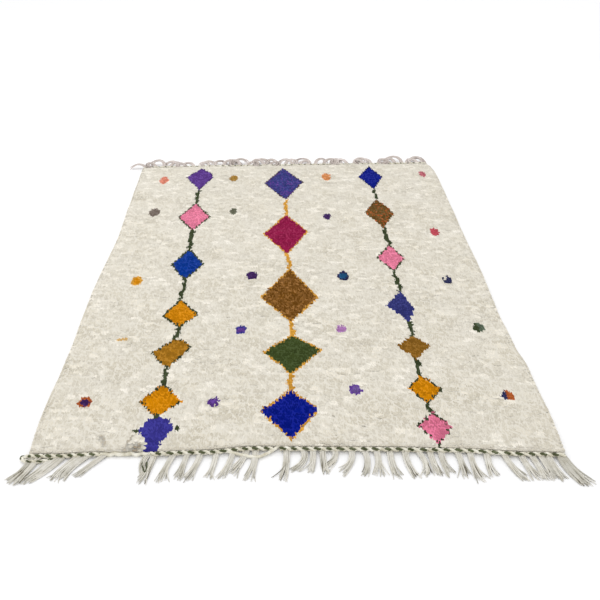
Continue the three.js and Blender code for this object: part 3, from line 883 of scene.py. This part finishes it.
hem_x = np.linspace(-556, -396, 40)
hem_y = np.interp(hem_x, rim_x, rim_y) - 5.5 + HEM_LUMP * np.sin(hem_x / 4.1)
hem_z = 7.6 + HEM_LUMP * np.sin(hem_x / 6.3)
hem_line = np.stack([hem_x, hem_y, hem_z], axis=1)
doubled_line = smooth_line(DOUBLED_BACK, 60)
first_dash = doubled_line[0, 0] + 20
cord_cream += [
    yarn_piece("cord_tucked_hem", [hem_line], 5.8),
    yarn_piece("cord_sagging_yarn", [smooth_line(SAGGING_YARN, 30)], 4.6),
    yarn_piece("cord_corner_cream", cream_yarns(doubled_line, first_dash, LEFT_PITCH), 3.6),
]
cord_olive.append(yarn_piece("cord_corner_olive", [olive_yarn(doubled_line, first_dash, LEFT_PITCH)], 2.6))

# %% [markdown]
# ## The tassels
# The warps run on past the cord in bundles of cotton yarns. A bundle stays together like a
# flat ribbon for most of its length, then its yarns part and fray on the floor. Each is
# placed by the table: where it leaves the cord, how far its middle bows and its tip leans
# to the side, how far it reaches, and how wide its tip spreads.

# %% Near tassels
NEAR_TASSELS = [
    (-741, 6, -44, 106, 24), (-722, 5, -48, 110, 24), (-680, 4, -68, 107, 18), (-652, 6, -76, 98, 18),
    (-607, -6, -62, 98, 20), (-581, -9, -60, 100, 22), (-535, 0, -72, 88, 20), (-411, -12, 2, 86, 16),
    (-394, 0, -32, 112, 36), (-337, -10, -26, 113, 40), (-300, -3, -18, 106, 36), (-262, 0, -42, 114, 36),
    (-218, 0, -16, 104, 16), (-170, 0, -34, 112, 26), (-130, 7, -46, 98, 28), (-106, 3, -22, 124, 34),
    (-18, 4, -17, 120, 24), (28, 14, -40, 92, 22), (56, 4, -14, 100, 22), (84, 0, 4, 98, 18),
    (117, 10, -38, 78, 20), (165, 8, -38, 96, 20), (201, 10, -12, 106, 15), (236, 4, -6, 106, 48),
    (275, -4, 14, 114, 38), (318, -6, 26, 112, 24), (352, 13, 10, 104, 24), (385, 0, 16, 100, 30),
    (417, -4, 19, 100, 30), (462, 3, 8, 108, 34), (497, -4, 16, 118, 38), (543, -5, 8, 102, 38),
    (588, -8, 46, 106, 34), (636, 0, 28, 99, 36), (664, 3, 22, 98, 26), (688, 4, 20, 98, 24),
    (709, 0, 22, 98, 20), (741, -4, 40, 116, 26), (749, -8, 52, 112, 34),
    (-733, 9, -56, 100, 22), (-664, 0, -74, 102, 20), (-592, -8, -62, 92, 20), (745, -6, 46, 106, 26),
]
LEANS_AT_ONCE = 42
RUNS_OUT_FIRST = 1.7
OLIVE_END = [
    (-411, -1001, 8), (-422, -1020, 6.5), (-424, -1034, 6), (-417, -1050, 6),
    (-409, -1066, 5), (-407, -1047, 7), (-410, -1027, 8),
]
YARNS = 13
YARN_RADIUS = 1.95
YARN_LEVELS = [0.0, 0.02, 0.14, 0.28, 0.42, 0.55, 0.68, 0.8, 0.9, 0.97, 1.0]
BUNDLE_HALF_WIDTH = 7.2
BUNDLE_TURN = 0.5
FRAYS_FROM = 0.48
STRAY_YARNS = 2
STRAYS_TO = 26
EVEN_TINT = 0.74
CORNERS_FROM = 730
CORNER_WORN = 0.28
yarn = model_strand(5, YARN_LEVELS)


def bundle(middle, heading, spread, tallness):
    """The paths of a tassel's yarns round its middle line, side by side at first and parting
    to the given spread at the tip. heading is the line's sideways direction at each level."""
    share = yarn["levels"][None, :]
    frayed = np.clip((share - FRAYS_FROM) / (1 - FRAYS_FROM), 0, 1)
    start = draw.uniform(0, 2 * math.pi)
    turn = start + 2 * math.pi * np.arange(YARNS)[:, None] / YARNS + BUNDLE_TURN * share
    ring = np.where(np.arange(YARNS) % 3 == 0, 0.45, 1.0)[:, None]
    width = BUNDLE_HALF_WIDTH + (spread / 2 - BUNDLE_HALF_WIDTH) * frayed
    aside = np.cos(turn) * ring * width
    parting = draw.normal(0, 1, (YARNS, 1)) * 4 * frayed**1.5
    parting[:STRAY_YARNS] += draw.uniform(-STRAYS_TO, STRAYS_TO, (STRAY_YARNS, 1)) * frayed**1.5
    lift = np.sin(turn) * ring * tallness * (1 - 0.7 * share**1.5)
    path = middle[None] + heading[None] * (aside + parting)[..., None]
    path[..., 2] += lift
    shorter = draw.uniform(0.8, 1.0, (YARNS, 1))
    whole = yarn["levels"]
    return np.stack([
        np.stack([np.interp(whole * shorter[n], whole, path[n, :, k]) for k in range(3)], axis=-1)
        for n in range(YARNS)
    ])


def tassel_piece(name, bundles, worn):
    """One mesh of all the yarns of all the tassels of one end. worn is how much darker each
    tassel is than the others."""
    path = np.concatenate(bundles)
    count = len(path)
    floor_gap = YARN_RADIUS * 1.2
    path[..., 2] = np.maximum(path[..., 2], floor_gap)
    taper = np.interp(yarn["levels"], [0, 0.45, 0.7, 1], [1.2, 1.1, 0.9, 0.55])
    radii = YARN_RADIUS * taper[None] * draw.uniform(0.85, 1.12, (count, 1))
    side = np.tile((0.0, 0.0, 1.0), (count, 1))
    points, faces = lay_strands(yarn, path, radii, side)
    along = np.tile(yarn["points"][:, 2], count)
    own_tint = np.repeat(draw.normal(0, 0.32, count), len(yarn["points"]))
    even_tint = EVEN_TINT - np.repeat(worn, YARNS * len(yarn["points"]))
    tint = np.clip(even_tint + own_tint * np.clip((along - 0.3) / 0.4, 0.1, 1), 0, 1)
    piece = mesh_piece(name, points, faces, {"tint": tint})
    print(name, count, "yarns,", len(faces), "triangles")
    return piece


near_bundles = []
for root_x, bow, lean, reach, spread in NEAR_TASSELS:
    rim = np.interp(root_x, rim_x, rim_y)
    level = yarn["levels"]
    leaning = level ** (1 if abs(lean) > LEANS_AT_ONCE else RUNS_OUT_FIRST)
    x = root_x + lean * leaning + bow * np.sin(math.pi * level)
    y = rim - 5 - (reach - 5) * level
    z = np.interp(level, [0, 0.12, 0.3, 1], [5.5, 6.5, 5.0, 2.2])
    line = np.stack([x, y, z], axis=1)
    way = np.gradient(line[:, :2], axis=0)
    way /= np.linalg.norm(way, axis=1, keepdims=True)
    heading = np.stack([-way[:, 1], way[:, 0], np.zeros(len(level))], axis=1)
    near_bundles.append(bundle(line, heading, spread, 2.2))
corner_worn = [CORNER_WORN if abs(line[0]) > CORNERS_FROM else 0 for line in NEAR_TASSELS]
fringe_near = tassel_piece("tassels_near", near_bundles, corner_worn)
olive_end = yarn_piece("tassel_olive_end", [smooth_line(OLIVE_END, 24)], 2.3)

# %% [markdown]
# The far tassels were flung over and lie in small curls, so each follows a line that bends
# more and more as it goes, to one side or the other. The first one lies flung outward.

# %% Far tassels
FAR_TASSELS = 37
FAR_MARGIN = (22, 38)
FAR_LENGTH = 150
far_bundles = []
far_roots = np.linspace(-FIELD_WIDTH / 2 + FAR_MARGIN[0], FIELD_WIDTH / 2 - FAR_MARGIN[1], FAR_TASSELS)
for root_x in far_roots:
    rim = np.interp(root_x, far_rim_x, far_rim_y)
    level = yarn["levels"]
    curl = draw.choice([-1, 1]) * draw.uniform(0.9, 2.1)
    start = math.pi / 2 - 0.25 * np.sign(curl) + draw.normal(0, 0.25)
    length = FAR_LENGTH * draw.uniform(0.8, 1.1)
    if root_x == far_roots[0]:
        curl, start, length = 0.5, math.radians(140), 108
    way_angle = start + curl * math.pi * level**1.4
    step = np.diff(level, prepend=0) * length
    x = root_x + np.cumsum(np.cos(way_angle) * step)
    y = rim + 4 + np.cumsum(np.sin(way_angle) * step)
    z = 6.6 + draw.uniform(12, 24) * np.sin(math.pi * level) ** 1.2 - 3 * level
    line = np.stack([x, y, z], axis=1)
    heading = np.stack([-np.sin(way_angle), np.cos(way_angle), np.zeros(len(level))], axis=1)
    far_bundles.append(bundle(line, heading, draw.uniform(26, 42), 3.6))
fringe_far = tassel_piece("tassels_far", far_bundles, np.zeros(FAR_TASSELS))

# %% [markdown]
# ## The finishes
# Wool scatters light and has no gloss, so its roughness is high, with a little sheen. The
# colour of each lock comes from its own dye and a small tint of its own, painted shade
# darkens it towards the root, and fine fibres are a bump stretched along the lie of the wool.

# %% Material helpers
def start_material(name, roughness, sheen):
    """A fibre material without gloss."""
    made = bpy.data.materials.new(name)
    made.use_nodes = True
    shader = made.node_tree.nodes["Principled BSDF"]
    shader.inputs["Roughness"].default_value = roughness
    shader.inputs["Sheen Weight"].default_value = sheen
    shader.inputs["Sheen Roughness"].default_value = 0.5
    shader.inputs["Specular IOR Level"].default_value = 0.05
    return made, made.node_tree, shader


def attribute(tree, label):
    found = tree.nodes.new("ShaderNodeAttribute")
    found.attribute_name = label
    return found


def ramp(tree, factor, stops):
    """A colour ramp from a list of (place, colour on the 0 to 255 scale)."""
    made = tree.nodes.new("ShaderNodeValToRGB")
    for place, colour in stops[1:-1]:
        made.color_ramp.elements.new(place)
    for element, (place, colour) in zip(made.color_ramp.elements, stops):
        element.position = place
        element.color = (*linear(colour), 1)
    tree.links.new(factor, made.inputs["Fac"])
    return made.outputs["Color"]


def times(tree, first, second, factor=1.0):
    """Two colours multiplied."""
    made = tree.nodes.new("ShaderNodeMix")
    made.data_type = "RGBA"
    made.blend_type = "MULTIPLY"
    made.inputs["Factor"].default_value = factor
    tree.links.new(first, made.inputs["A"])
    tree.links.new(second, made.inputs["B"])
    return made.outputs["Result"]


def noise(tree, scale, stretch=(1, 1, 1), detail=2.0):
    """Noise on the piece's own coordinates, stretched along an axis where stretch is small."""
    where = tree.nodes.new("ShaderNodeTexCoord")
    mapping = tree.nodes.new("ShaderNodeMapping")
    mapping.inputs["Scale"].default_value = stretch
    made = tree.nodes.new("ShaderNodeTexNoise")
    made.inputs["Scale"].default_value = scale
    made.inputs["Detail"].default_value = detail
    tree.links.new(where.outputs["Object"], mapping.inputs["Vector"])
    tree.links.new(mapping.outputs["Vector"], made.inputs["Vector"])
    return made.outputs["Fac"]


def bump(tree, shader, height, distance, strength):
    made = tree.nodes.new("ShaderNodeBump")
    made.inputs["Distance"].default_value = distance
    made.inputs["Strength"].default_value = strength
    tree.links.new(height, made.inputs["Height"])
    tree.links.new(made.outputs["Normal"], shader.inputs["Normal"])


# %% Wool
FIBRE_STRETCH = (1, 0.12, 0.25)


def wool_finish(name, colour_of, sheen):
    """Wool whose colour comes from colour_of, with painted shade at the roots and fine fibres."""
    made, tree, shader = start_material(name, 0.95, sheen)
    colour = colour_of(tree)
    painted_root_shade = ramp(tree, attribute(tree, "along").outputs["Fac"], [
        (0.0, (244, 241, 235)), (0.45, (250, 249, 246)), (0.9, (255, 255, 255)),
    ])
    colour = times(tree, colour, painted_root_shade)
    patches = ramp(tree, noise(tree, 9, detail=3), [(0.3, (244, 242, 236)), (0.7, (255, 255, 255))])
    colour = times(tree, colour, patches)
    tree.links.new(colour, shader.inputs["Base Color"])
    bump(tree, shader, noise(tree, 900, FIBRE_STRETCH, 1.0), 0.0006, 0.5)
    return made


# The cream ramp's brown stop at 0.0 is painted shade, reached only in the folds' hollow and creases.
def cream_colour(tree):
    return ramp(tree, attribute(tree, "tint").outputs["Fac"], [
        (0.0, (146, 128, 104)), (0.2, (205, 199, 186)), (0.5, (218, 213, 201)), (0.9, (243, 238, 228)),
    ])


# The tint scales each dye: a random tone partly painted as highlight, and painted shade in the folds and by the
# near rim.
def dyed_colour(tree):
    light = ramp(tree, attribute(tree, "tint").outputs["Fac"], [(0.0, (205, 205, 205)), (1.0, (255, 255, 255))])
    return times(tree, attribute(tree, "dye").outputs["Color"], light)


cream_wool = wool_finish("cream_wool", cream_colour, 0.25)
dyed_wool = wool_finish("dyed_wool", dyed_colour, 0.0)
for piece in cream_pieces:
    piece.data.materials.append(cream_wool)
for piece in dyed_pieces:
    piece.data.materials.append(dyed_wool)

# %% Ground cloth, cord and cotton
weave, tree, shader = start_material("ground_weave", 0.95, 0.1)
rows = tree.nodes.new("ShaderNodeTexWave")
rows.bands_direction = "Y"
rows.inputs["Scale"].default_value = 28
rows.inputs["Distortion"].default_value = 0.6
where = tree.nodes.new("ShaderNodeTexCoord")
tree.links.new(where.outputs["Object"], rows.inputs["Vector"])
tree.links.new(attribute(tree, "dye").outputs["Color"], shader.inputs["Base Color"])
bump(tree, shader, rows.outputs["Fac"], 0.0005, 0.3)
ground.data.materials.clear()
ground.data.materials.append(weave)


def cotton_finish(name, stops, own_tint):
    """Spun cotton: its tone comes from each yarn's own tint, or else from soft blotches."""
    made, tree, shader = start_material(name, 0.88, 0.15)
    blotches = noise(tree, 60, detail=4)
    factor = attribute(tree, "tint").outputs["Fac"] if own_tint else blotches
    tone = ramp(tree, factor, stops)
    patches = ramp(tree, blotches, [(0.3, (236, 234, 228)), (0.65, (255, 255, 255))])
    tree.links.new(times(tree, tone, patches), shader.inputs["Base Color"])
    bump(tree, shader, noise(tree, 750, (1, 1, 0.4), 2.0), 0.0006, 0.6)
    return made


cord_cream_finish = cotton_finish("cord_cream", [
    (0.3, (208, 203, 184)), (0.5, (228, 224, 208)), (0.7, (240, 237, 225)),
], False)
cord_olive_finish = cotton_finish("cord_olive", [
    (0.3, (70, 74, 50)), (0.5, (86, 91, 64)), (0.7, (108, 112, 85)),
], False)
near_cotton = cotton_finish("near_cotton", [
    (0.0, (108, 101, 86)), (0.35, (190, 187, 176)), (0.9, (230, 227, 219)),
], True)
far_cotton = cotton_finish("far_cotton", [
    (0.0, (118, 104, 98)), (0.35, (184, 173, 169)), (0.9, (226, 217, 213)),
], True)
for piece in cord_cream:
    piece.data.materials.append(cord_cream_finish)
for piece in [*cord_olive, olive_end]:
    piece.data.materials.append(cord_olive_finish)
fringe_near.data.materials.append(near_cotton)
fringe_far.data.materials.append(far_cotton)
print("finishes:", [made.name for made in bpy.data.materials])

# %% [markdown]
# ## Fitting the pieces to the frame
# Nothing on a rug moves on its own, so every piece rides on the one body. The wool and the
# ground cloth stand for the plain pile solid, the yarns for the plain cords and fringes.

# %% Ride and replace
wool_pieces = cream_pieces + dyed_pieces
yarn_pieces = [*cord_cream, *cord_olive, fringe_near, olive_end, fringe_far]
all_pieces = [ground, *wool_pieces, *yarn_pieces]
for piece in all_pieces:
    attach(piece, "root")
for piece in [ground, *wool_pieces]:
    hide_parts("pile_field")
for piece in [*cord_cream, *cord_olive]:
    right = piece.name.startswith("cord_near_right")
    far = piece.name.startswith("cord_far")
    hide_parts("heading_far" if far else "heading_near_right" if right else "heading_near_left")
for piece, node in ((fringe_near, "fringe_near"), (olive_end, "fringe_near"), (fringe_far, "fringe_far")):
    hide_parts(node)
total = sum(len(face.vertices) - 2 for piece in all_pieces for face in piece.data.polygons)
print(len(all_pieces), "pieces,", total, "triangles in all")
